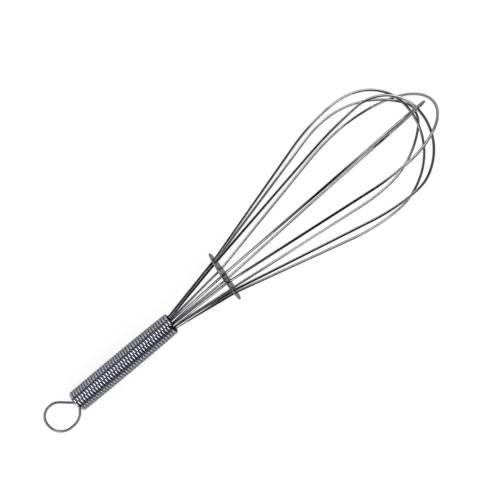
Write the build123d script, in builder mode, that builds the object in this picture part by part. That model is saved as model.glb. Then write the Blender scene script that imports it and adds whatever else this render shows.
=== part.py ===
"""Balloon whisk lying on a table, in millimetres.

+X runs from the handle to the head and +Z is up. The table is z = 0, and the origin is on it under the
middle of the whisk. The whisk rests on the rear end of its grip and on its lowest wires, so its axis climbs
towards the head. Angles round the axis are counted from straight up towards -Y.
"""

from build123d import *
from dataclasses import dataclass
import math
import os

# Wires
loop_wire = 1.6
coil_wire = 1.5
eye_wire = 1.5

# Grip: a close-wound coil round the ten wire ends and a core
coil_half_turns = 77
coil_pitch = 1.97
coil_start_angle = 180
coil_rear_diameter = 14.3
coil_widest_diameter = 14.7
coil_mouth_diameter = 13.6
coil_widest_share = 0.42
ends_gap = 0.5
ends_start = 2.0
core_gap = 0.1
core_setback = 1.0

# Head: from the grip's mouth through the spacer disc to the crowns
head_lean = 1.5
neck_length = 42.1
disc_diameter = 33.2
disc_thickness = 0.9
disc_lean = 7.0
disc_edge_radius = 0.3
hole_ring_radius = 11.6
hole_clearance = 0.8
balloon_length = 224.0
balloon_radius = 37.2
mouth_bend_radius = 12.0
hole_bend_radius = 14.0
bend_fill_share = 0.98

# Hanging loop: an eye whose two legs cross at the grip's end
eye_length = 22.8
eye_left_width = 8.9
eye_right_width = 10.3
eye_left_shoulder_share = 0.41
eye_right_shoulder_share = 0.27
eye_left_corner_share = 0.48
eye_right_corner_share = 0.50
eye_shoulder_fill_share = 0.75
eye_leg_radius = 4.0
eye_leg_depth = 14.0
eye_leg_gap = 0.3
eye_left_cross_depth = 0.8
eye_right_cross_depth = 2.2
eye_end_gap = 0.3

# How finely the wires are measured
samples_per_loop = 400
samples_per_eye = 80
samples_per_turn = 24
halvings = 40
steepest_climb = math.radians(30)


@dataclass
class Side:
    """One side of a loop: the angle it lies at, and where it turns as shares of the balloon's size."""

    angle: float
    shoulder_share: float
    width_share: float
    corner_share: float
    crown_share: float


@dataclass
class Loop:
    """A balloon wire: the angles of its two holes, its length, its sideways shift and its two sides."""

    first_angle: float
    last_angle: float
    length_share: float
    shift_share: float
    first: Side
    last: Side


loops = [
    Loop(-93, 80, 0.943, 0.097, Side(-86, 0.714, 0.859, 0.816, 0.61), Side(94, 0.685, 1.156, 0.794, 0.76)),
    Loop(-123, 121, 0.98, -0.001, Side(-130, 0.727, 0.82, 0.898, 0.07), Side(121, 0.734, 0.698, 0.882, 0.18)),
    Loop(-67, 47, 0.945, -0.016, Side(-64, 0.756, 0.654, 0.857, 0.45), Side(46, 0.740, 0.908, 0.838, 0.56)),
    Loop(-165, 9, 1.000, 0.010, Side(-157, 0.726, 1.097, 0.875, 0.44), Side(21, 0.769, 1.013, 0.874, 0.57)),
    Loop(-16, 159, 0.981, -0.002, Side(-11, 0.675, 1.022, 0.845, 0.67), Side(168, 0.686, 1.021, 0.847, 0.68)),
]
hole_angles = sorted(angle for loop in loops for angle in (loop.first_angle, loop.last_angle))

coil_turns = coil_half_turns / 2 + 1
coil_length = coil_turns * coil_pitch
ends_radius = (coil_mouth_diameter - loop_wire) / 2 - coil_wire - ends_gap
ends_bore_radius = ends_radius - loop_wire / 2


def polar(radius, angle):
    """Sideways (+Y) and upward (+Z) parts of a radius at an angle counted from straight up towards -Y."""
    turned = math.radians(angle)
    return -radius * math.sin(turned), radius * math.cos(turned)


# The whisk is laid out level first: its grip's axis is X, and the head leans a little to +Y.
head_turn = math.radians(head_lean)
head = Plane(
    origin=(coil_length, 0, 0),
    x_dir=(math.cos(head_turn), math.sin(head_turn), 0),
    z_dir=(0, 0, 1),
)
disc_turn = math.radians(head_lean - disc_lean)
disc_middle = Plane(
    origin=head.from_local_coords((neck_length, 0, 0)),
    x_dir=(-math.sin(disc_turn), math.cos(disc_turn), 0),
    z_dir=(math.cos(disc_turn), math.sin(disc_turn), 0),
)
apex_setback = neck_length * ends_radius / (hole_ring_radius - ends_radius)
apex = head.from_local_coords((-apex_setback, 0, 0))


def half_outline(side, length, shift, hole):
    """The shoulder, corner and crown points of one side of a loop, and the radius of the bend at each.

    Points are (along, sideways) in the loop's own plane, sideways counted outwards. The crown's bends meet on
    the loop's middle line, and each bend takes nearly all of the run that the next one leaves it.
    """
    width = side.width_share * balloon_radius
    crown_half = side.crown_share * balloon_radius
    shoulder = (side.shoulder_share * balloon_length, width + shift)
    corner = (side.corner_share * balloon_length, width + shift)
    crown = (length, crown_half + shift)
    rise = math.atan2(shoulder[1] - hole[1], shoulder[0] - hole[0])
    dive = math.atan2(corner[1] - crown[1], crown[0] - corner[0])
    corner_run = math.dist(corner, crown) - crown_half
    shoulder_run = math.dist(shoulder, corner) - corner_run
    turns = (rise, dive, math.pi / 2 - dive)
    runs = (shoulder_run, corner_run, crown_half)
    radii = [bend_fill_share * run / math.tan(turn / 2) for run, turn in zip(runs, turns)]
    return [shoulder, corner, crown], radii


def in_disc(angle):
    """The point on the disc's ring of holes at an angle."""
    return disc_middle.from_local_coords((*polar(hole_ring_radius, angle), 0))


def end_in_grip(along, angle):
    """A point of a wire end in the grip, where the ends stand evenly round the core."""
    slot = hole_angles.index(angle)
    return Vector(along, *polar(ends_radius, (slot + 0.5) * 360 / len(hole_angles) - 180))


def loop_route(loop):
    """The corner points of a loop's whole wire, level, and the radius of the bend at each inner point."""
    first_hole, last_hole = in_disc(loop.first_angle), in_disc(loop.last_angle)
    first_way, last_way = first_hole - apex, last_hole - apex
    first_heading = (in_disc(loop.first.angle) - apex).normalized()
    last_heading = (in_disc(loop.last.angle) - apex).normalized()
    forward = (first_heading + last_heading).normalized()
    outward = (first_heading - last_heading).normalized()
    length = loop.length_share * balloon_length
    shift = loop.shift_share * balloon_radius
    first, first_radii = half_outline(
        loop.first, length, shift, (first_way.dot(forward), first_way.dot(outward))
    )
    last, last_radii = half_outline(
        loop.last, length, -shift, (last_way.dot(forward), -last_way.dot(outward))
    )
    balloon = [apex + forward * along + outward * sideways for along, sideways in first]
    balloon += [apex + forward * along - outward * sideways for along, sideways in reversed(last)]
    route = [end_in_grip(along, loop.first_angle) for along in (ends_start, coil_length)]
    route += [first_hole, *balloon, last_hole]
    route += [end_in_grip(along, loop.last_angle) for along in (coil_length, ends_start)]
    grip_radii = [mouth_bend_radius, hole_bend_radius]
    return route, [*grip_radii, *first_radii, *reversed(last_radii), *reversed(grip_radii)]


def coil_radius(turn):
    """Radius of the coil's wire centre after so many turns: a slight barrel, narrowest at the mouth."""
    widest_turn = coil_widest_share * coil_turns
    if turn < widest_turn:
        narrower = (coil_widest_diameter - coil_rear_diameter) * (1 - turn / widest_turn) ** 2
    else:
        past = (turn - widest_turn) / (coil_turns - widest_turn)
        narrower = (coil_widest_diameter - coil_mouth_diameter) * past**3
    return (coil_widest_diameter - narrower - coil_wire) / 2


def coil_point(turn):
    """The coil's wire centre after so many turns, level: a right-handed helix that starts at the rear."""
    return Vector(coil_pitch * (turn + 0.5), *polar(coil_radius(turn), 360 * turn + coil_start_angle))


def coil_heading(turn):
    """Unit direction of the coil's wire after so many turns, level."""
    small_turn = 1e-4
    return (coil_point(turn + small_turn) - coil_point(turn - small_turn)).normalized()


def biarc_joint(start, start_heading, end, end_heading):
    """The point where two arcs meet that join two points smoothly, with equal tangent runs at both ends."""
    chord = end - start
    both = start_heading + end_heading
    spread = 2 * (1 - start_heading.dot(end_heading))
    reach = chord.dot(both)
    run = (math.sqrt(reach**2 + spread * chord.dot(chord)) - reach) / spread
    return (start + start_heading * run + end - end_heading * run) / 2


def eye_shoulder(width, shoulder_share, corner_radius, leg_start):
    """The shoulder of one side of the eye, as (along, sideways), and the radius of its bend."""
    along = -shoulder_share * eye_length
    turn = math.atan2(width, leg_start - along)
    run = eye_shoulder_fill_share * (along + eye_length - corner_radius)
    return (along, width), run / math.tan(turn / 2)


def eye_route():
    """The corner points of the hanging loop's wire, level, and the radius of the bend at each inner point.

    The left leg crosses over the right one in the grip's rear end, and both go in among the wire ends.
    """
    high = ends_bore_radius - eye_wire / 2 - eye_leg_gap
    across = eye_left_width + eye_right_width
    left_corner = eye_left_corner_share * across
    right_corner = eye_right_corner_share * across
    left, left_bend = eye_shoulder(
        eye_left_width, eye_left_shoulder_share, left_corner, eye_left_cross_depth
    )
    right, right_bend = eye_shoulder(
        eye_right_width, eye_right_shoulder_share, right_corner, eye_right_cross_depth
    )
    route = [
        Vector(eye_leg_depth, 0, high),
        Vector(eye_left_cross_depth, 0, high),
        Vector(left[0], left[1], high / 2),
        Vector(-eye_length, eye_left_width, 0),
        Vector(-eye_length, -eye_right_width, 0),
        Vector(right[0], -right[1], -high / 2),
        Vector(eye_right_cross_depth, 0, -high),
        Vector(eye_leg_depth, 0, -high),
    ]
    return route, [eye_leg_radius, left_bend, left_corner, right_corner, right_bend, eye_leg_radius]


def points_along(route, radii, count):
    """Evenly spaced points along a rounded route."""
    with BuildLine() as line:
        FilletPolyline(*route, radius=radii)
    wire = line.wires()[0]
    return [wire @ (step / count) for step in range(count + 1)]


# Lying on the table: the axis climbs until the grip's rear and the lowest wire both touch it.
def lowest_height(points, climb):
    """Height of the lowest of some level points when the whisk's axis climbs by an angle."""
    return min(point.X * math.sin(climb) + point.Z * math.cos(climb) for point in points)


strands = [point for loop in loops for point in points_along(*loop_route(loop), samples_per_loop)]
eye = points_along(*eye_route(), samples_per_eye)
grip_rear = [coil_point(step / samples_per_turn) for step in range(samples_per_turn + 1)]
grip_rear.append(coil_point(0) - coil_heading(0) * coil_wire)
low_climb = 0
high_climb = steepest_climb
for _ in range(halvings):
    climb = (low_climb + high_climb) / 2
    grip_foot = lowest_height(grip_rear, climb) - coil_wire / 2
    head_foot = lowest_height(strands, climb) - loop_wire / 2
    if head_foot < grip_foot:
        low_climb = climb
    else:
        high_climb = climb
length_run = [point.X * math.cos(climb) - point.Z * math.sin(climb) for point in (*strands, *eye)]
side_run = [point.Y for point in strands]
rear_end = min(length_run) - eye_wire / 2
front_end = max(length_run) + loop_wire / 2
lying = Plane(
    origin=(-(rear_end + front_end) / 2, -(min(side_run) + max(side_run)) / 2, -grip_foot),
    x_dir=(math.cos(climb), 0, math.sin(climb)),
    z_dir=(-math.sin(climb), 0, math.cos(climb)),
)
print(f"whisk {front_end - rear_end:.1f} mm long, its axis climbs {math.degrees(climb):.2f} degrees")


def laid(point):
    """A level point on the whisk as it lies."""
    return lying.from_local_coords(point)


def laid_way(direction):
    """A level direction on the whisk as it lies."""
    return laid(direction) - laid(Vector(0, 0, 0))


def laid_plane(plane):
    """A level plane on the whisk as it lies."""
    return Plane(
        origin=laid(plane.origin),
        x_dir=laid_way(plane.x_dir),
        z_dir=laid_way(plane.z_dir),
    )


def report(part, wire=None, diameter=None):
    """Print a finished piece's volume and, for a bent wire, what its section times its length comes to."""
    print(f"{part.label}: {len(part.solids())} solid, {part.volume:.1f} mm3, valid {part.is_valid}")
    if wire:
        section = math.pi * diameter**2 / 4
        print(f"  wire {wire.length:.1f} mm long, section by length {wire.length * section:.1f} mm3")


os.makedirs("parts", exist_ok=True)

# Balloon loops
for number, loop in enumerate(loops, 1):
    route, radii = loop_route(loop)
    with BuildPart() as whisk_loop:
        with BuildLine() as loop_line:
            FilletPolyline(*[laid(point) for point in route], radius=radii)
        wire = loop_line.wires()[0]
        with BuildSketch(Plane(origin=wire @ 0, z_dir=wire % 0)):
            Circle(loop_wire / 2)
        sweep(path=wire)
    whisk_loop.part.label = f"whisk_loop_{number}"
    export_step(whisk_loop.part, f"parts/whisk_loop_{number}.step")
    report(whisk_loop.part, wire, loop_wire)

# Handle coil: one wire, two arcs to each half turn, with a short straight run at both ends
with BuildPart() as handle_coil:
    with BuildLine() as coil_line:
        end = laid(coil_point(0))
        end_heading = laid_way(coil_heading(0))
        Line(end - end_heading * coil_wire, end)
        for half_turn in range(1, coil_half_turns + 1):
            start = end
            start_heading = end_heading
            end = laid(coil_point(half_turn / 2))
            end_heading = laid_way(coil_heading(half_turn / 2))
            joint = biarc_joint(start, start_heading, end, end_heading)
            first_arc = TangentArc(start, joint, tangent=start_heading)
            TangentArc(joint, end, tangent=first_arc % 1)
        Line(end, end + end_heading * coil_wire)
    coil_path = coil_line.wires()[0]
    with BuildSketch(Plane(origin=coil_path @ 0, z_dir=coil_path % 0)):
        Circle(coil_wire / 2)
    sweep(path=coil_path)
handle_coil.part.label = "handle_coil"
export_step(handle_coil.part, "parts/handle_coil.step")
report(handle_coil.part, coil_path, coil_wire)

# The coil's least gap to itself, over points more than half a turn apart along the wire
coil_samples = coil_half_turns * samples_per_turn // 2
coil_points = [coil_path @ (step / coil_samples) for step in range(coil_samples + 1)]
least_gap = min(
    (here - there).length - coil_wire
    for place, here in enumerate(coil_points)
    for there in coil_points[place + samples_per_turn // 2 : place + 2 * samples_per_turn]
)
print(f"  least gap to itself {least_gap:.3f} mm")

# Core: a rod in the middle of the wire ends, from the hanging loop's legs to just inside the mouth
core_start = eye_leg_depth + eye_end_gap
with BuildPart() as core_rod:
    with BuildSketch(laid_plane(Plane(origin=(core_start, 0, 0), z_dir=(1, 0, 0)))):
        Circle(ends_bore_radius - core_gap)
    extrude(amount=coil_length - core_setback - core_start)
core_rod.part.label = "core_rod"
export_step(core_rod.part, "parts/core_rod.step")
report(core_rod.part)

# Spacer disc: a hole for each strand
with BuildPart() as spacer_disc:
    disc_plane = laid_plane(disc_middle)
    with BuildSketch(disc_plane.offset(-disc_thickness / 2)):
        Circle(disc_diameter / 2)
        with Locations([polar(hole_ring_radius, angle) for angle in hole_angles]):
            Circle((loop_wire + hole_clearance) / 2, mode=Mode.SUBTRACT)
    extrude(amount=disc_thickness)
    rim = spacer_disc.edges().filter_by(GeomType.CIRCLE).group_by(SortBy.RADIUS)[-1]
    fillet(rim, disc_edge_radius)
spacer_disc.part.label = "spacer_disc"
export_step(spacer_disc.part, "parts/spacer_disc.step")
report(spacer_disc.part)

# Hanging loop
with BuildPart() as hanging_loop:
    route, radii = eye_route()
    with BuildLine() as eye_line:
        FilletPolyline(*[laid(point) for point in route], radius=radii)
    wire = eye_line.wires()[0]
    with BuildSketch(Plane(origin=wire @ 0, z_dir=wire % 0)):
        Circle(eye_wire / 2)
    sweep(path=wire)
hanging_loop.part.label = "hanging_loop"
export_step(hanging_loop.part, "parts/hanging_loop.step")
report(hanging_loop.part, wire, eye_wire)
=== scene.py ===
"""A balloon whisk of polished steel wire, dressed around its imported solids.

The whisk lies on a white table, +X from the grip to the head and +Z up. Each wire is a tube swept along the same
line as its solid. Lines are laid out level first, with the grip's axis on X, and a Placement then lays them on the
table. Sizes are metres, and angles are degrees unless a name says radians.
"""

import logging
import math
from dataclasses import dataclass, field
from enum import Enum

import bpy
import numpy as np
from mathutils import Matrix, Vector

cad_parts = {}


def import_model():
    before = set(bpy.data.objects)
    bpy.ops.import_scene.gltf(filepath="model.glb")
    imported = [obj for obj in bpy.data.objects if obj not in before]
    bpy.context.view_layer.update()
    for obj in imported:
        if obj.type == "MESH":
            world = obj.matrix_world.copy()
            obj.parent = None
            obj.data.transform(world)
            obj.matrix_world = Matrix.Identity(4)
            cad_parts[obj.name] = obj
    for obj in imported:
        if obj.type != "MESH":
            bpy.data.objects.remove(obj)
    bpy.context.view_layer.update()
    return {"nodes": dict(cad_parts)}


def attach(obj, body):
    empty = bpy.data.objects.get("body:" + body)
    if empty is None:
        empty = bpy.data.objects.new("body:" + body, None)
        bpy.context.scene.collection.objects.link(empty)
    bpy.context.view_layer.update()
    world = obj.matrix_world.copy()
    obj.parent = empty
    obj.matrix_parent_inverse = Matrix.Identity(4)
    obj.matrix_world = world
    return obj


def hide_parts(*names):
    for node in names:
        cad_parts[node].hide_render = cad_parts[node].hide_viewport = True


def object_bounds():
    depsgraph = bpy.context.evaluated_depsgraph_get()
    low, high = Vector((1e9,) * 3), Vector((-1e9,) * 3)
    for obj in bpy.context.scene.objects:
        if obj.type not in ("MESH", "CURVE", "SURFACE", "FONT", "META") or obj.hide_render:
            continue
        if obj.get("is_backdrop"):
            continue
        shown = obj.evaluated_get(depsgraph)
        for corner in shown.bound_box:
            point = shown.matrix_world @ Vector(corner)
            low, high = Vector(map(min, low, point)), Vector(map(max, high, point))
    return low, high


log = logging.getLogger("whisk")

MM = 0.001
BODY = "root"
PLACE_ATTRIBUTE = "wire_place"
WHITE = (1.0, 1.0, 1.0, 1.0)

# The grip's length in wires: the coil's 38.5 turns and one wire more
COIL_TURNS = 39.5
COIL_PITCH = 1.97 * MM
# Points nearer than this share of a step count as one
SAME_POINT_SHARE = 0.001

# The marks of drawn metal
LINE_SCALE = 9000.0
LINE_STRETCH = 0.004
LINE_DETAIL = 2.0
LINE_ROUGHNESS = 0.6
CLOUD_SCALE = 120.0
CLOUD_DETAIL = 3.0
SCRATCH_SCALE = 1400.0
SCRATCH_WIDTH = 0.03
NOISE_LOW = 0.3
NOISE_HIGH = 0.7

Array = np.ndarray


class Slot(Enum):
    """The material slots that the pieces take their finish from."""

    LOOP = "loop_wire"
    COIL = "coil_wire"
    EYE = "eye_wire"
    DISC = "disc_steel"
    CORE = "core_steel"


def unit(vectors: Array) -> Array:
    """Vectors scaled to length one."""
    return vectors / np.linalg.norm(vectors, axis=-1, keepdims=True)


def around(radius: float | Array, angle: float | Array) -> Array:
    """Level offsets from the grip's axis at an angle counted from straight up towards -Y.

    Args:
        radius: Distance from the axis.
        angle: Angle in degrees.

    Returns:
        Points (0, -radius sin angle, radius cos angle).
    """
    turned = np.radians(angle)
    height = radius * np.cos(turned)
    return np.stack([np.zeros_like(height), -radius * np.sin(turned), height], axis=-1)


def rounded_line(corners: Array, radii: list[float], step: float) -> Array:
    """Evenly spaced points along straight runs joined by tangent arcs.

    At a corner that turns by an angle a, the arc of radius r starts r tan(a/2) before the corner, and its points are
    centre - r cos(s) inwards + r sin(s) ahead, for s from 0 to a.

    Args:
        corners: Corner points, one row each.
        radii: Radius of the arc at each inner corner.
        step: Distance between points.

    Returns:
        Points along the line, one row each.
    """
    pieces = [corners[:1]]
    for before, corner, after, radius in zip(corners[:-2], corners[1:-1], corners[2:], radii):
        ahead = unit(corner - before)
        away = unit(after - corner)
        turn = math.acos(float(np.clip(ahead @ away, -1, 1)))
        inwards = unit(away - ahead * math.cos(turn))
        centre = corner - ahead * radius * math.tan(turn / 2) + inwards * radius
        swing = np.linspace(0, turn, 2 + int(turn * radius / step))[:, None]
        pieces.append(centre - inwards * radius * np.cos(swing) + ahead * radius * np.sin(swing))
    pieces.append(corners[-1:])
    return evenly_spaced(np.concatenate(pieces), step)


def evenly_spaced(points: Array, step: float) -> Array:
    """Points at even distances along a line of points, its two ends among them.

    Args:
        points: Points of the line, one row each.
        step: Greatest distance between the new points.

    Returns:
        The new points, one row each.
    """
    lengths = np.concatenate([[0.0], np.cumsum(np.linalg.norm(np.diff(points, axis=0), axis=1))])
    kept = np.concatenate([[True], np.diff(lengths) > step * SAME_POINT_SHARE])
    places = np.linspace(0, lengths[-1], 1 + math.ceil(lengths[-1] / step))
    return np.stack([np.interp(places, lengths[kept], points[kept, axis]) for axis in range(3)], axis=1)


def add_object(name: str, data: bpy.types.ID) -> bpy.types.Object:
    """Makes an object and links it to the scene.

    Args:
        name: Name of the object.
        data: Its mesh, lamp or camera.

    Returns:
        The new object.
    """
    made = bpy.data.objects.new(name, data)
    bpy.context.scene.collection.objects.link(made)
    return made


@dataclass(frozen=True)
class Placement:
    """How the level whisk lies on the table: its axis climbs by an angle, and its rear end is moved to a place."""

    climb_radians: float
    origin: tuple[float, float, float]

    @property
    def axes(self) -> Array:
        """The level X, Y and Z directions as they lie, one row each."""
        cos, sin = math.cos(self.climb_radians), math.sin(self.climb_radians)
        return np.array([[cos, 0.0, sin], [0.0, 1.0, 0.0], [-sin, 0.0, cos]])

    def points(self, level: Array) -> Array:
        """Level points as they lie."""
        return level @ self.axes + np.array(self.origin)

    def directions(self, level: Array) -> Array:
        """Level directions as they lie."""
        return level @ self.axes


@dataclass
class Wire:
    """A round wire: the line of its centre, its radius, and the direction that its pattern counts as up."""

    line: Array
    radius: float
    upwards: Array
    sides: int = 24
    bevel: float = 0.15 * MM

    def rings(self) -> tuple[Array, Array, Array]:
        """Ring centres, headings and radii, with one more ring at each end for the bevel of the cut."""
        headings = unit(np.gradient(self.line, axis=0))
        first, last = self.line[0], self.line[-1]
        centres = np.concatenate(
            [
                [first, first + headings[0] * self.bevel],
                self.line[1:-1],
                [last - headings[-1] * self.bevel, last],
            ]
        )
        headings = np.concatenate([headings[:1], headings, headings[-1:]])
        radii = np.full(len(centres), self.radius)
        radii[[0, -1]] -= self.bevel
        return centres, headings, radii

    def surface(self) -> tuple[Array, Array, Array, Array]:
        """The wire's closed surface.

        A ring's points are centre + radius (cos f side + sin f up), for f all the way round. Up is the wire's upwards
        direction made square to its heading, and side is heading x up. A fan closes each end.

        Returns:
            Vertices, quads, end triangles, and each vertex's place in the wire: across, outwards and along.
        """
        centres, headings, radii = self.rings()
        upwards = np.broadcast_to(self.upwards, self.line.shape)
        upwards = np.concatenate([upwards[:1], upwards, upwards[-1:]])
        up = unit(upwards - headings * np.sum(upwards * headings, axis=1, keepdims=True))
        side = np.cross(headings, up)
        angles = np.linspace(0, 2 * math.pi, self.sides, endpoint=False)
        across = radii[:, None] * np.cos(angles)
        outwards = radii[:, None] * np.sin(angles)
        rings = centres[:, None] + across[..., None] * side[:, None] + outwards[..., None] * up[:, None]
        steps = np.linalg.norm(np.diff(centres, axis=0), axis=1)
        along = np.broadcast_to(np.concatenate([[0.0], np.cumsum(steps)])[:, None], across.shape)
        count = len(centres)
        index = np.arange(count * self.sides).reshape(count, self.sides)
        index = np.concatenate([index, index[:, :1]], axis=1)
        quads = np.stack([index[:-1, :-1], index[1:, :-1], index[1:, 1:], index[:-1, 1:]], axis=-1).reshape(-1, 4)
        middle = count * self.sides
        start = np.stack([np.full(self.sides, middle), index[0, :-1], index[0, 1:]], axis=-1)
        end = np.stack([np.full(self.sides, middle + 1), index[-1, 1:], index[-1, :-1]], axis=-1)
        vertices = np.concatenate([rings.reshape(-1, 3), centres[[0, -1]]])
        place = np.stack([across, outwards, along], axis=-1).reshape(-1, 3)
        ends = np.array([[0.0, 0.0, 0.0], [0.0, 0.0, along[-1, 0]]])
        return vertices, quads, np.concatenate([start, end]), np.concatenate([place, ends])

    def build(self, name: str) -> bpy.types.Object:
        """Makes the wire's mesh object, with its place in the wire as a vertex attribute.

        Args:
            name: Name of the object.

        Returns:
            The new object, linked to the scene.
        """
        vertices, quads, fans, place = self.surface()
        mesh = bpy.data.meshes.new(name)
        mesh.vertices.add(len(vertices))
        mesh.vertices.foreach_set("co", vertices.astype(np.float32).ravel())
        corners = np.concatenate([quads.ravel(), fans.ravel()]).astype(np.int32)
        starts = np.concatenate([np.arange(len(quads)) * 4, len(quads) * 4 + np.arange(len(fans)) * 3])
        mesh.loops.add(len(corners))
        mesh.loops.foreach_set("vertex_index", corners)
        mesh.polygons.add(len(starts))
        mesh.polygons.foreach_set("loop_start", starts.astype(np.int32))
        mesh.polygons.foreach_set("use_smooth", np.arange(len(starts)) < len(quads))
        mesh.update(calc_edges=True)
        mesh.validate()
        attribute = mesh.attributes.new(PLACE_ATTRIBUTE, "FLOAT_VECTOR", "POINT")
        attribute.data.foreach_set("vector", place.astype(np.float32).ravel())
        return add_object(name, mesh)


class NodeSheet:
    """Adds nodes to a node tree and joins them."""

    def __init__(self, tree: bpy.types.NodeTree) -> None:
        """Starts on a tree."""
        self.tree = tree

    def add(self, kind: str, values: dict | None = None, **settings) -> bpy.types.Node:
        """Adds a node.

        Args:
            kind: The node's type name.
            values: Input names with a value, or with an output socket to join.
            **settings: Attributes of the node.

        Returns:
            The new node.
        """
        node = self.tree.nodes.new(kind)
        for name, setting in settings.items():
            setattr(node, name, setting)
        for name, value in (values or {}).items():
            socket = node.inputs[name]
            if isinstance(value, bpy.types.NodeSocket):
                self.tree.links.new(value, socket)
            else:
                socket.default_value = value
        return node

    def math(self, operation: str, first, second=0.0) -> bpy.types.NodeSocket:
        """The result of a Math node.

        Args:
            operation: The node's operation.
            first: First number or socket.
            second: Second number or socket.

        Returns:
            The node's output socket.
        """
        return self.add("ShaderNodeMath", {0: first, 1: second}, operation=operation).outputs[0]

    def ramp(self, value, low: float, high: float, to_low: float, to_high: float) -> bpy.types.NodeSocket:
        """A value carried smoothly from one range to another, and held at its ends.

        Args:
            value: The value's socket.
            low: Start of its range.
            high: End of its range.
            to_low: Result at the start.
            to_high: Result at the end.

        Returns:
            The result's socket.
        """
        node = self.add(
            "ShaderNodeMapRange",
            {"Value": value, "From Min": low, "From Max": high, "To Min": to_low, "To Max": to_high},
            interpolation_type="SMOOTHSTEP",
        )
        return node.outputs["Result"]


def empty_material(name: str) -> tuple[bpy.types.Material, NodeSheet]:
    """Makes a material without nodes.

    Args:
        name: Name of the material.

    Returns:
        The material, and the sheet that adds its nodes.
    """
    material = bpy.data.materials.new(name)
    material.use_nodes = True
    material.node_tree.nodes.clear()
    return material, NodeSheet(material.node_tree)


def drawn_metal_group() -> bpy.types.NodeTree:
    """The marks of drawn metal: lines along the draw, cloudy tone and fine scratches, from a place vector.

    Returns:
        A node group. It takes a place whose third part runs along the draw, and puts out three values from 0 to 1.
    """
    name = "drawn_metal"
    if name in bpy.data.node_groups:
        return bpy.data.node_groups[name]
    tree = bpy.data.node_groups.new(name, "ShaderNodeTree")
    tree.interface.new_socket("Place", in_out="INPUT", socket_type="NodeSocketVector")
    scales = {"Line Scale": LINE_SCALE, "Line Stretch": LINE_STRETCH, "Cloud Scale": CLOUD_SCALE}
    for label, value in scales.items():
        socket = tree.interface.new_socket(label, in_out="INPUT", socket_type="NodeSocketFloat")
        socket.default_value = value
    for label in ("Lines", "Clouds", "Scratches"):
        tree.interface.new_socket(label, in_out="OUTPUT", socket_type="NodeSocketFloat")
    sheet = NodeSheet(tree)
    given = sheet.add("NodeGroupInput")
    stretch = sheet.add("ShaderNodeCombineXYZ", {"X": 1.0, "Y": 1.0, "Z": given.outputs["Line Stretch"]})
    drawn = sheet.add(
        "ShaderNodeVectorMath", {0: given.outputs["Place"], 1: stretch.outputs[0]}, operation="MULTIPLY"
    )
    lines = sheet.add(
        "ShaderNodeTexNoise",
        {
            "Vector": drawn.outputs[0],
            "Scale": given.outputs["Line Scale"],
            "Detail": LINE_DETAIL,
            "Roughness": LINE_ROUGHNESS,
        },
    )
    clouds = sheet.add(
        "ShaderNodeTexNoise",
        {"Vector": given.outputs["Place"], "Scale": given.outputs["Cloud Scale"], "Detail": CLOUD_DETAIL},
    )
    scratches = sheet.add(
        "ShaderNodeTexVoronoi",
        {"Vector": drawn.outputs[0], "Scale": SCRATCH_SCALE, "Randomness": 1.0},
        feature="DISTANCE_TO_EDGE",
    )
    outputs = {
        "Lines": sheet.ramp(lines.outputs[0], NOISE_LOW, NOISE_HIGH, 0.0, 1.0),
        "Clouds": sheet.ramp(clouds.outputs[0], NOISE_LOW, NOISE_HIGH, 0.0, 1.0),
        "Scratches": sheet.ramp(scratches.outputs["Distance"], 0.0, SCRATCH_WIDTH, 1.0, 0.0),
    }
    sheet.add("NodeGroupOutput", outputs)
    return tree


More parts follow.
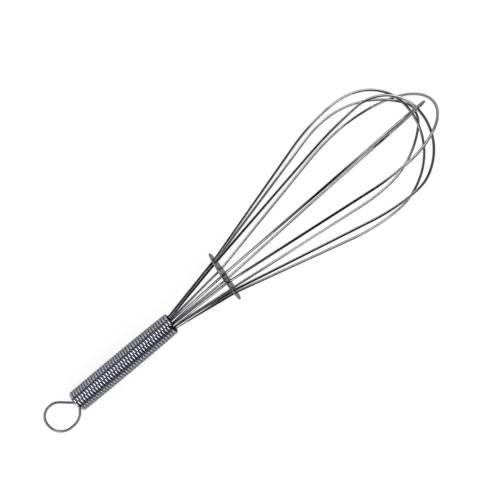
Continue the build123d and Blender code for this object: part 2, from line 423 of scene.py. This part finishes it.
@dataclass(frozen=True)
class SteelFinish:
    """Polished or satin steel.

    Shade is how far the clouds darken the tone. Smooth and rough are the roughness between and on the drawing lines,
    and line_depth is their depth. The groove shade is painted shade: it darkens the base colour on the sides that
    face a neighbouring turn, where shade falls between the coil's turns. The edge tint is what the metal mirrors at a
    grazing angle.
    """

    name: str
    tone: tuple[float, float, float]
    shade: float
    smooth: float
    rough: float
    line_depth: float
    # Painted shade in the grooves between the coil's turns
    painted_groove_shade: float = 0.0
    edge_tint: tuple[float, float, float, float] = (0.35, 0.35, 0.36, 1.0)
    on_wire: bool = True
    dark_share: float = 0.25
    scratch_share: float = 0.5
    # How far round the wire the painted groove shade reaches
    painted_groove_shade_reach: float = 0.75

    def material(self) -> bpy.types.Material:
        """Builds the material.

        Returns:
            A metal whose tone follows the clouds and the painted shade in the grooves, and whose roughness and bump
            follow the lines.
        """
        material, sheet = empty_material(self.name)
        if self.on_wire:
            source = sheet.add("ShaderNodeAttribute", attribute_name=PLACE_ATTRIBUTE)
            place = source.outputs["Vector"]
        else:
            source = sheet.add("ShaderNodeTexCoord")
            place = source.outputs["Object"]
        marks = sheet.add("ShaderNodeGroup", {}, node_tree=drawn_metal_group())
        material.node_tree.links.new(place, marks.inputs["Place"])
        # Clouds give a random tone, and the groove adds painted shade between the coil's turns
        cloud_tone_and_painted_shade = sheet.math("MULTIPLY", marks.outputs["Clouds"], self.shade)
        if self.painted_groove_shade > 0:
            cloud_tone_and_painted_shade = sheet.math("ADD", cloud_tone_and_painted_shade, self.painted_groove_shade_mask(sheet, place))
        dark = [part * self.dark_share for part in self.tone]
        tone = sheet.add(
            "ShaderNodeMix",
            {"Factor": cloud_tone_and_painted_shade, "A": (*self.tone, 1.0), "B": (*dark, 1.0)},
            data_type="RGBA",
        )
        roughness = sheet.ramp(marks.outputs["Lines"], 0.0, 1.0, self.smooth, self.rough)
        cuts = sheet.math("MULTIPLY", marks.outputs["Scratches"], -self.scratch_share)
        height = sheet.math("ADD", marks.outputs["Lines"], cuts)
        bump = sheet.add("ShaderNodeBump", {"Height": height, "Strength": 1.0, "Distance": self.line_depth})
        shader = sheet.add(
            "ShaderNodeBsdfPrincipled",
            {
                "Base Color": tone.outputs["Result"],
                "Metallic": 1.0,
                "Roughness": roughness,
                "Specular Tint": self.edge_tint,
                "Normal": bump.outputs["Normal"],
            },
        )
        sheet.add("ShaderNodeOutputMaterial", {"Surface": shader.outputs["BSDF"]})
        return material

    def painted_groove_shade_mask(self, sheet: NodeSheet, place: bpy.types.NodeSocket) -> bpy.types.NodeSocket:
        """Painted shade by how deep a point lies in the groove: full where the wire's surface faces its neighbour.

        Args:
            sheet: The material's nodes.
            place: The point's place in the wire.

        Returns:
            The painted shade's socket.
        """
        parts = sheet.add("ShaderNodeSeparateXYZ", {"Vector": place})
        facing = sheet.math("ARCTAN2", parts.outputs["Y"], parts.outputs["X"])
        lift = sheet.math("SINE", facing)
        return sheet.ramp(lift, 0.0, self.painted_groove_shade_reach, self.painted_groove_shade, 0.0)


@dataclass(frozen=True)
class Side:
    """One side of a loop: the angle that it leans to, and its turns as shares of the balloon's length and radius."""

    angle: float
    shoulder_share: float
    width_share: float
    corner_share: float
    crown_share: float


@dataclass(frozen=True)
class Balloon:
    """The level layout that the loops share: grip, spacer disc, and the point that the strands seem to come from."""

    wire: float = 1.6 * MM
    grip_length: float = COIL_TURNS * COIL_PITCH
    ends_radius: float = 4.0 * MM
    ends_start: float = 2.0 * MM
    head_lean: float = 1.5
    neck_length: float = 42.1 * MM
    disc_lean: float = 7.0
    hole_ring_radius: float = 11.6 * MM
    length: float = 224.0 * MM
    radius: float = 37.2 * MM
    mouth_bend_radius: float = 12.0 * MM
    hole_bend_radius: float = 14.0 * MM
    bend_fill_share: float = 0.98

    @property
    def head_axis(self) -> Array:
        """Direction of the head, which leans towards +Y."""
        lean = math.radians(self.head_lean)
        return np.array([math.cos(lean), math.sin(lean), 0.0])

    @property
    def mouth(self) -> Array:
        """The middle of the grip's mouth."""
        return np.array([self.grip_length, 0.0, 0.0])

    @property
    def apex(self) -> Array:
        """The point in the grip where the neck's strands would meet."""
        setback = self.neck_length * self.ends_radius / (self.hole_ring_radius - self.ends_radius)
        return self.mouth - self.head_axis * setback

    def hole(self, angle: float) -> Array:
        """The point on the disc's ring of holes at an angle."""
        lean = math.radians(self.head_lean - self.disc_lean)
        sideways = np.array([-math.sin(lean), math.cos(lean), 0.0])
        offset = around(self.hole_ring_radius, angle)
        # The disc leans about the vertical, so only its sideways direction turns
        return self.mouth + self.head_axis * self.neck_length + sideways * offset[1] + np.array([0, 0, offset[2]])

    def end_in_grip(self, along: float, slot: int, slots: int) -> Array:
        """A point of a wire end in the grip, where the ends stand evenly round the core.

        Args:
            along: Distance from the grip's rear.
            slot: Number of the wire end.
            slots: How many wire ends there are.

        Returns:
            The point.
        """
        return np.array([along, 0.0, 0.0]) + around(self.ends_radius, (slot + 0.5) * 360 / slots - 180)


@dataclass(frozen=True)
class BalloonLoop:
    """One closed balloon wire. Its two strands pass the disc's holes at its first and last angle."""

    first_angle: float
    last_angle: float
    length_share: float
    shift_share: float
    first: Side
    last: Side

    def half_outline(
        self, balloon: Balloon, side: Side, shift: float, hole: tuple[float, float]
    ) -> tuple[list[tuple[float, float]], list[float]]:
        """The shoulder, corner and crown points of one side, and the radius of the bend at each.

        Args:
            balloon: The shared layout.
            side: The side's shares.
            shift: How far the loop is shifted towards this side.
            hole: The disc's hole, as (along, sideways) in the loop's own plane.

        Returns:
            Points as (along, sideways), and bend radii. Each bend takes the run that the next one leaves it.
        """
        width = side.width_share * balloon.radius
        crown_half = side.crown_share * balloon.radius
        shoulder = (side.shoulder_share * balloon.length, width + shift)
        corner = (side.corner_share * balloon.length, width + shift)
        crown = (self.length_share * balloon.length, crown_half + shift)
        rise = math.atan2(shoulder[1] - hole[1], shoulder[0] - hole[0])
        dive = math.atan2(corner[1] - crown[1], crown[0] - corner[0])
        corner_run = math.dist(corner, crown) - crown_half
        shoulder_run = math.dist(shoulder, corner) - corner_run
        turns = (rise, dive, math.pi / 2 - dive)
        runs = (shoulder_run, corner_run, crown_half)
        radii = [balloon.bend_fill_share * run / math.tan(turn / 2) for run, turn in zip(runs, turns)]
        return [shoulder, corner, crown], radii

    def line(self, balloon: Balloon, slots: list[float], step: float) -> tuple[Array, Array]:
        """The level line of the wire's centre, and the direction square to the loop's own plane.

        Args:
            balloon: The shared layout.
            slots: The angles of all the disc's holes, in order.
            step: Distance between points.

        Returns:
            Points of the line, and the plane's unit normal.
        """
        first_hole = balloon.hole(self.first_angle)
        last_hole = balloon.hole(self.last_angle)
        first_way = first_hole - balloon.apex
        last_way = last_hole - balloon.apex
        first_lie = unit(balloon.hole(self.first.angle) - balloon.apex)
        last_lie = unit(balloon.hole(self.last.angle) - balloon.apex)
        forward = unit(first_lie + last_lie)
        outward = unit(first_lie - last_lie)
        shift = self.shift_share * balloon.radius
        first, first_radii = self.half_outline(
            balloon, self.first, shift, (float(first_way @ forward), float(first_way @ outward))
        )
        last, last_radii = self.half_outline(
            balloon, self.last, -shift, (float(last_way @ forward), float(-last_way @ outward))
        )
        crown = [balloon.apex + forward * along + outward * sideways for along, sideways in first]
        crown += [balloon.apex + forward * along - outward * sideways for along, sideways in reversed(last)]
        first_slot = slots.index(self.first_angle)
        last_slot = slots.index(self.last_angle)
        reach = (balloon.ends_start, balloon.grip_length)
        corners = [balloon.end_in_grip(along, first_slot, len(slots)) for along in reach]
        corners += [first_hole, *crown, last_hole]
        corners += [balloon.end_in_grip(along, last_slot, len(slots)) for along in reversed(reach)]
        grip_radii = [balloon.mouth_bend_radius, balloon.hole_bend_radius]
        radii = [*grip_radii, *first_radii, *reversed(last_radii), *reversed(grip_radii)]
        return rounded_line(np.array(corners), radii, step), np.cross(forward, outward)


@dataclass(frozen=True)
class Coil:
    """The grip's close-wound wire: a slight barrel, narrowest at the mouth. Its turns count its length in wires."""

    turns: float = COIL_TURNS
    start_angle: float = 180.0
    pitch: float = COIL_PITCH
    wire: float = 1.95 * MM
    rear_diameter: float = 14.3 * MM
    widest_diameter: float = 14.7 * MM
    mouth_diameter: float = 13.6 * MM
    widest_share: float = 0.42
    solid_wire: float = 1.5 * MM
    steps_per_turn: int = 60
    sides: int = 20
    short_turn: float = 0.0001

    def centres(self, turn: Array, wire: float) -> Array:
        """The level wire centre after so many turns: a right-handed helix that starts at the rear.

        Along the axis it is pitch (turn + 1/2). Its outer diameter falls from the widest turn by a square law
        towards the rear and a cubic one towards the mouth.

        Args:
            turn: Turns from the rear.
            wire: The wire's diameter.

        Returns:
            Points, one row each.
        """
        widest_turn = self.widest_share * self.turns
        rearwards = np.clip(1 - turn / widest_turn, 0, None)
        onwards = np.clip((turn - widest_turn) / (self.turns - widest_turn), 0, None)
        diameter = (
            self.widest_diameter
            - (self.widest_diameter - self.rear_diameter) * rearwards**2
            - (self.widest_diameter - self.mouth_diameter) * onwards**3
        )
        points = around((diameter - wire) / 2, 360 * turn + self.start_angle)
        points[:, 0] = self.pitch * (turn + 0.5)
        return points

    def line(self) -> Array:
        """The level line of the whole coil."""
        last = self.turns - 1
        return self.centres(np.linspace(0, last, round(last * self.steps_per_turn) + 1), self.wire)

    def solid_rear(self) -> Array:
        """Level centres of the solid's first turn and of its straight wire end, one wire's width long."""
        first_turn = self.centres(np.linspace(0, 1, self.steps_per_turn + 1), self.solid_wire)
        start, near = self.centres(np.array([0.0, self.short_turn]), self.solid_wire)
        return np.concatenate([first_turn, [start - unit(near - start) * self.solid_wire]])


@dataclass(frozen=True)
class HangingLoop:
    """The wire eye behind the grip. Its left leg crosses over the right one where both go in among the wire ends."""

    wire: float = 1.5 * MM
    length: float = 22.8 * MM
    left_width: float = 8.9 * MM
    right_width: float = 10.3 * MM
    left_shoulder_share: float = 0.41
    right_shoulder_share: float = 0.27
    left_corner_share: float = 0.48
    right_corner_share: float = 0.50
    shoulder_fill_share: float = 0.75
    leg_radius: float = 4.0 * MM
    leg_depth: float = 14.0 * MM
    leg_gap: float = 0.3 * MM
    left_cross_depth: float = 0.8 * MM
    right_cross_depth: float = 2.2 * MM

    def shoulder(
        self, width: float, share: float, corner_radius: float, leg_start: float
    ) -> tuple[float, float]:
        """Where one side's shoulder lies along the axis, and the radius of its bend.

        Args:
            width: How far the side stands from the axis.
            share: The shoulder's place as a share of the eye's length.
            corner_radius: Radius of the side's far corner.
            leg_start: Where the leg starts along the axis.

        Returns:
            The place along the axis, and the bend's radius.
        """
        along = -share * self.length
        turn = math.atan2(width, leg_start - along)
        run = self.shoulder_fill_share * (along + self.length - corner_radius)
        return along, run / math.tan(turn / 2)

    def line(self, bore_radius: float, step: float) -> Array:
        """The level line of the eye's wire.

        Args:
            bore_radius: Radius of the space among the wire ends.
            step: Distance between points.

        Returns:
            Points of the line.
        """
        high = bore_radius - self.wire / 2 - self.leg_gap
        across = self.left_width + self.right_width
        left_corner = self.left_corner_share * across
        right_corner = self.right_corner_share * across
        left, left_bend = self.shoulder(
            self.left_width, self.left_shoulder_share, left_corner, self.left_cross_depth
        )
        right, right_bend = self.shoulder(
            self.right_width, self.right_shoulder_share, right_corner, self.right_cross_depth
        )
        corners = np.array(
            [
                (self.leg_depth, 0, high),
                (self.left_cross_depth, 0, high),
                (left, self.left_width, high / 2),
                (-self.length, self.left_width, 0),
                (-self.length, -self.right_width, 0),
                (right, -self.right_width, -high / 2),
                (self.right_cross_depth, 0, -high),
                (self.leg_depth, 0, -high),
            ]
        )
        radii = [self.leg_radius, left_bend, left_corner, right_corner, right_bend, self.leg_radius]
        return rounded_line(corners, radii, step)


@dataclass
class Whisk:
    """The whole whisk: its loops, coil and eye, and how they lie."""

    balloon: Balloon = field(default_factory=Balloon)
    coil: Coil = field(default_factory=Coil)
    eye: HangingLoop = field(default_factory=HangingLoop)
    loops: tuple[BalloonLoop, ...] = (
        BalloonLoop(
            -93, 80, 0.943, 0.097, Side(-86, 0.714, 0.859, 0.816, 0.61), Side(94, 0.685, 1.156, 0.794, 0.76)
        ),
        BalloonLoop(
            -123, 121, 0.980, -0.001, Side(-130, 0.727, 0.820, 0.898, 0.07), Side(121, 0.734, 0.698, 0.882, 0.18)
        ),
        BalloonLoop(
            -67, 47, 0.945, -0.016, Side(-64, 0.756, 0.654, 0.857, 0.45), Side(46, 0.740, 0.908, 0.838, 0.56)
        ),
        BalloonLoop(
            -165, 9, 1.000, 0.010, Side(-157, 0.726, 1.097, 0.875, 0.44), Side(21, 0.769, 1.013, 0.874, 0.57)
        ),
        BalloonLoop(
            -16, 159, 0.981, -0.002, Side(-11, 0.675, 1.022, 0.845, 0.67), Side(168, 0.686, 1.021, 0.847, 0.68)
        ),
    )
    step: float = 0.6 * MM
    eye_step: float = 0.3 * MM
    halvings: int = 40
    steepest_climb: float = 30.0

    def __post_init__(self) -> None:
        """Works out the level lines and how the whisk lies."""
        slots = sorted(angle for loop in self.loops for angle in (loop.first_angle, loop.last_angle))
        self.loop_lines = [loop.line(self.balloon, slots, self.step) for loop in self.loops]
        self.eye_line = self.eye.line(self.balloon.ends_radius - self.balloon.wire / 2, self.eye_step)
        self.placement = self.lay_down()

    def lay_down(self) -> Placement:
        """Finds the climb at which the grip's rear and the lowest strand both touch the table.

        Returns:
            The placement, with the middle of the whisk's bounding box over the origin.
        """
        strands = np.concatenate([line for line, _ in self.loop_lines])
        rear = self.coil.solid_rear()

        def lowest(points: Array, climb: float) -> float:
            """Height of the lowest point at a climb."""
            return float(np.min(points[:, 0] * math.sin(climb) + points[:, 2] * math.cos(climb)))

        low, high = 0.0, math.radians(self.steepest_climb)
        for _ in range(self.halvings):
            climb = (low + high) / 2
            grip_foot = lowest(rear, climb) - self.coil.solid_wire / 2
            head_foot = lowest(strands, climb) - self.balloon.wire / 2
            low, high = (climb, high) if head_foot < grip_foot else (low, climb)
        level = Placement(climb, (0.0, 0.0, 0.0))
        lengthways = level.points(strands)[:, 0].max() + self.balloon.wire / 2
        rearmost = level.points(self.eye_line)[:, 0].min() - self.eye.wire / 2
        sideways = strands[:, 1].min() + strands[:, 1].max()
        return Placement(climb, (-(lengthways + rearmost) / 2, -sideways / 2, -grip_foot))

    def build(self, finishes: dict[Slot, bpy.types.Material]) -> None:
        """Builds every wire, lays it on the table and dresses it.

        Args:
            finishes: The material of each slot.
        """
        lay = self.placement
        wires = {
            f"whisk_loop_{number}": (Wire(lay.points(line), self.balloon.wire / 2, lay.directions(normal)), Slot.LOOP)
            for number, (line, normal) in enumerate(self.loop_lines, 1)
        }
        coil_line = self.coil.line()
        outwards = coil_line * np.array([0.0, 1.0, 1.0])
        wires["handle_coil"] = (
            Wire(lay.points(coil_line), self.coil.wire / 2, lay.directions(unit(outwards)), self.coil.sides),
            Slot.COIL,
        )
        wires["hanging_loop"] = (
            Wire(lay.points(self.eye_line), self.eye.wire / 2, lay.directions(np.array([0.0, 0.0, 1.0]))),
            Slot.EYE,
        )
        for node, (wire, slot) in wires.items():
            piece = wire.build(f"{node}_drawn")
            piece.data.materials.append(finishes[slot])
            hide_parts(node)
            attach(piece, BODY)
            log.info("%s: %d faces", piece.name, len(piece.data.polygons))


def dress_node(node: bpy.types.Object, finish: bpy.types.Material) -> None:
    """Gives a carried-over node its finish.

    Args:
        node: The node's object.
        finish: Its material.
    """
    node.data.materials.clear()
    node.data.materials.append(finish)
    log.info("%s keeps its solid and wears %s", node.name, finish.name)


@dataclass(frozen=True)
class PhotoCamera:
    """The camera, looking down on the level whisk from a little to one side."""

    focal_pixels: float = 761.8
    frame_pixels: float = 480.0
    sensor_width: float = 36.0
    distance: float = 457.1 * MM
    pivot: tuple[float, float, float] = (140.155 * MM, 0.0, 0.0)
    roll: float = 9.0
    tilt: float = 3.75
    turn: float = 0.61
    along_shift: float = 0.91 * MM
    across_shift: float = -11.96 * MM
    picture_turn: float = 40.5
    nearest: float = 10 * MM
    farthest: float = 100.0

    def place(self, placement: Placement) -> None:
        """Makes the camera and sets it as the scene's.

        Args:
            placement: How the level whisk lies.
        """
        roll, tilt, turn = (math.radians(angle) for angle in (self.roll, self.tilt, self.turn))
        across = np.array([0.0, -math.cos(roll), math.sin(roll)])
        above = np.array([0.0, math.sin(roll), math.cos(roll)])
        along = np.array([math.cos(tilt), 0.0, 0.0]) - above * math.sin(tilt)
        back = np.array([math.sin(tilt), 0.0, 0.0]) + above * math.cos(tilt)
        ahead = along * math.cos(turn) - across * math.sin(turn)
        beside = along * math.sin(turn) + across * math.cos(turn)
        spot = np.array(self.pivot) + back * self.distance
        spot = spot + ahead * self.along_shift + beside * self.across_shift
        picture = math.radians(self.picture_turn)
        right = ahead * math.cos(picture) + beside * math.sin(picture)
        up = ahead * math.sin(picture) - beside * math.cos(picture)
        axes = placement.directions(np.array([right, up, back]))
        camera = bpy.data.cameras.new("photo_camera")
        camera.sensor_width = self.sensor_width
        camera.lens = self.sensor_width * self.focal_pixels / self.frame_pixels
        camera.clip_start = self.nearest
        camera.clip_end = self.farthest
        holder = add_object("photo_camera", camera)
        matrix = Matrix(axes.T.tolist()).to_4x4()
        matrix.translation = Vector(placement.points(spot).tolist())
        holder.matrix_world = matrix
        bpy.context.scene.camera = holder


@dataclass(frozen=True)
class SoftBox:
    """A rectangular lamp that faces the whisk, as bright as its glow says."""

    name: str
    towards: tuple[float, float, float]
    distance: float
    width: float
    height: float
    glow: float

    def place(self, aim: Vector) -> None:
        """Makes the lamp, facing the aim. A lamp of a given glow needs power = pi glow width height."""
        lamp = bpy.data.lights.new(self.name, "AREA")
        lamp.shape = "RECTANGLE"
        lamp.size = self.width
        lamp.size_y = self.height
        lamp.energy = math.pi * self.glow * self.width * self.height
        holder = add_object(self.name, lamp)
        holder.visible_camera = False
        away = Vector(self.towards).normalized()
        turn = away.to_track_quat("Z", "Y").to_matrix().to_4x4()
        holder.matrix_world = Matrix.Translation(aim + away * self.distance) @ turn


@dataclass(frozen=True)
class Card:
    """A curved card that only metal mirrors. It darkens or lights a part of the room, as a studio's flags do."""

    name: str
    nearest_share: float
    farthest_share: float
    first_angle: float
    last_angle: float
    level: float
    radius: float = 1.0
    behind: float = 0.0
    steps: int = 24

    def place(self, aim: Vector) -> None:
        """Makes the card, a part of a ball around a point that lies so far behind the aim.

        Its points are that point + radius (x, w sin a, w cos a), where x runs between the two shares, w is the square
        root of 1 - x x, and a runs between the two angles, counted from straight up towards +Y.
        """
        x, turned = np.meshgrid(
            np.linspace(self.nearest_share, self.farthest_share, self.steps),
            np.radians(np.linspace(self.first_angle, self.last_angle, self.steps)),
            indexing="ij",
        )
        waist = np.sqrt(1 - x**2)
        points = np.stack([x, waist * np.sin(turned), waist * np.cos(turned)], axis=-1) * self.radius
        index = np.arange(self.steps**2).reshape(self.steps, self.steps)
        quads = np.stack([index[:-1, :-1], index[1:, :-1], index[1:, 1:], index[:-1, 1:]], axis=-1)
        mesh = bpy.data.meshes.new(self.name)
        middle = np.array(aim) - np.array([self.behind, 0.0, 0.0])
        mesh.from_pydata((points.reshape(-1, 3) + middle).tolist(), [], quads.reshape(-1, 4).tolist())
        piece = add_object(self.name, mesh)
        piece.visible_camera = False
        piece.visible_diffuse = False
        piece.visible_shadow = False
        piece.visible_transmission = False
        material, sheet = empty_material(self.name)
        glow = sheet.add("ShaderNodeEmission", {"Color": WHITE, "Strength": self.level})
        sheet.add("ShaderNodeOutputMaterial", {"Surface": glow.outputs[0]})
        mesh.materials.append(material)
        piece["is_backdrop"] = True


@dataclass(frozen=True)
class Studio:
    """The white table, the pale room, two soft boxes and the cards that the metal mirrors."""

    floor_radius: float = 6.0
    floor_sides: int = 64
    floor_colour: float = 0.35
    floor_glow: float = 0.72
    world_level: float = 0.90
    boxes: tuple[SoftBox, ...] = (
        SoftBox("far_box", (0.15, 0.96, 0.25), 1.2, 0.45, 0.40, 4.0),
        SoftBox("near_box", (0.15, -0.93, 0.35), 1.2, 0.45, 0.50, 3.0),
    )
    cards: tuple[Card, ...] = (
        Card("black_arch", -0.53, -0.03, -88.0, 88.0, 0.0),
        Card("grey_rear", -1.0, -0.53, -88.0, 88.0, 0.45),
        Card("front_flag", 0.12, 0.99, -66.0, 17.0, 0.08),
        Card("side_flag", 0.12, 0.99, 49.0, 76.0, 0.06),
        Card("front_light", 0.12, 0.85, 17.0, 49.0, 5.0, radius=0.9),
        Card("rear_light", -0.82, -0.30, -34.0, 4.0, 6.0, radius=0.25, behind=0.105),
    )

    def build(self, aim: Vector) -> None:
        """Makes the floor, the world, the lamps and the cards."""
        self.floor()
        self.world()
        for prop in (*self.boxes, *self.cards):
            prop.place(aim)

    def shown_rays(self, sheet: NodeSheet) -> bpy.types.NodeSocket:
        """One for rays that show the background: from the camera, from metal and through glass."""
        path = sheet.add("ShaderNodeLightPath")
        shown = sheet.math("MAXIMUM", path.outputs["Is Camera Ray"], path.outputs["Is Glossy Ray"])
        return sheet.math("MAXIMUM", shown, path.outputs["Is Transmission Ray"])

    def floor(self) -> None:
        """The table: a wide disc that looks white and keeps the whisk's shadow."""
        angles = np.linspace(0, 2 * math.pi, self.floor_sides, endpoint=False)
        rim = np.stack([np.cos(angles), np.sin(angles), np.zeros_like(angles)], axis=1) * self.floor_radius
        mesh = bpy.data.meshes.new("table_top")
        mesh.from_pydata(rim.tolist(), [], [list(range(len(angles)))])
        piece = add_object("table_top", mesh)
        material, sheet = empty_material("white_table")
        matte = sheet.add("ShaderNodeBsdfDiffuse", {"Color": (*[self.floor_colour] * 3, 1.0)})
        glow = sheet.add(
            "ShaderNodeEmission",
            {"Color": WHITE, "Strength": sheet.math("MULTIPLY", self.shown_rays(sheet), self.floor_glow)},
        )
        both = sheet.add("ShaderNodeAddShader", {0: matte.outputs[0], 1: glow.outputs[0]})
        sheet.add("ShaderNodeOutputMaterial", {"Surface": both.outputs[0]})
        mesh.materials.append(material)
        piece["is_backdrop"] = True

    def world(self) -> None:
        """White wherever it is seen, and a plain level where it lights the whisk."""
        world = bpy.data.worlds.new("pale_room")
        world.use_nodes = True
        world.node_tree.nodes.clear()
        sheet = NodeSheet(world.node_tree)
        shown = self.shown_rays(sheet)
        strength = sheet.ramp(shown, 0.0, 1.0, self.world_level, 1.0)
        glow = sheet.add("ShaderNodeBackground", {"Color": WHITE, "Strength": strength})
        sheet.add("ShaderNodeOutputWorld", {"Surface": glow.outputs[0]})
        bpy.context.scene.world = world


def main() -> None:
    """Loads the solids, dresses them and sets up the studio."""
    logging.basicConfig(level=logging.INFO, format="%(name)s %(message)s")
    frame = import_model()
    whisk = Whisk()
    log.info(
        "climb %.3f degrees, origin %s",
        math.degrees(whisk.placement.climb_radians),
        np.round(np.array(whisk.placement.origin) / MM, 3),
    )
    PhotoCamera().place(whisk.placement)
    finishes = {
        Slot.LOOP: SteelFinish(
            "drawn_loop_wire", (0.27, 0.27, 0.28), shade=0.12, smooth=0.06, rough=0.12, line_depth=0.0003 * MM
        ),
        Slot.COIL: SteelFinish(
            "drawn_coil_wire",
            (0.31, 0.31, 0.355),
            shade=0.15,
            smooth=0.06,
            rough=0.11,
            line_depth=0.0003 * MM,
            # painted shade in the grooves between the coil's turns
            painted_groove_shade=0.9,
        ),
        # The eye wire is the same drawn steel as the loops; its darker tone is painted shade
        Slot.EYE: SteelFinish(
            "drawn_eye_wire_painted_shade", (0.11, 0.11, 0.12), shade=0.12, smooth=0.07, rough=0.13, line_depth=0.0003 * MM
        ),
        Slot.DISC: SteelFinish(
            "satin_disc",
            (0.22, 0.22, 0.23),
            shade=0.5,
            smooth=0.20,
            rough=0.34,
            line_depth=0.002 * MM,
            on_wire=False,
        ),
        Slot.CORE: SteelFinish(
            "plain_core",
            (0.34, 0.34, 0.35),
            shade=0.3,
            smooth=0.30,
            rough=0.45,
            line_depth=0.002 * MM,
            on_wire=False,
        ),
    }
    materials = {slot: finish.material() for slot, finish in finishes.items()}
    whisk.build(materials)
    dress_node(frame["nodes"]["spacer_disc"], materials[Slot.DISC])
    dress_node(frame["nodes"]["core_rod"], materials[Slot.CORE])
    low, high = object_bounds()
    Studio().build((low + high) / 2)
    bpy.context.scene.view_settings.view_transform = "Standard"


if __name__ == "__main__":
    main()
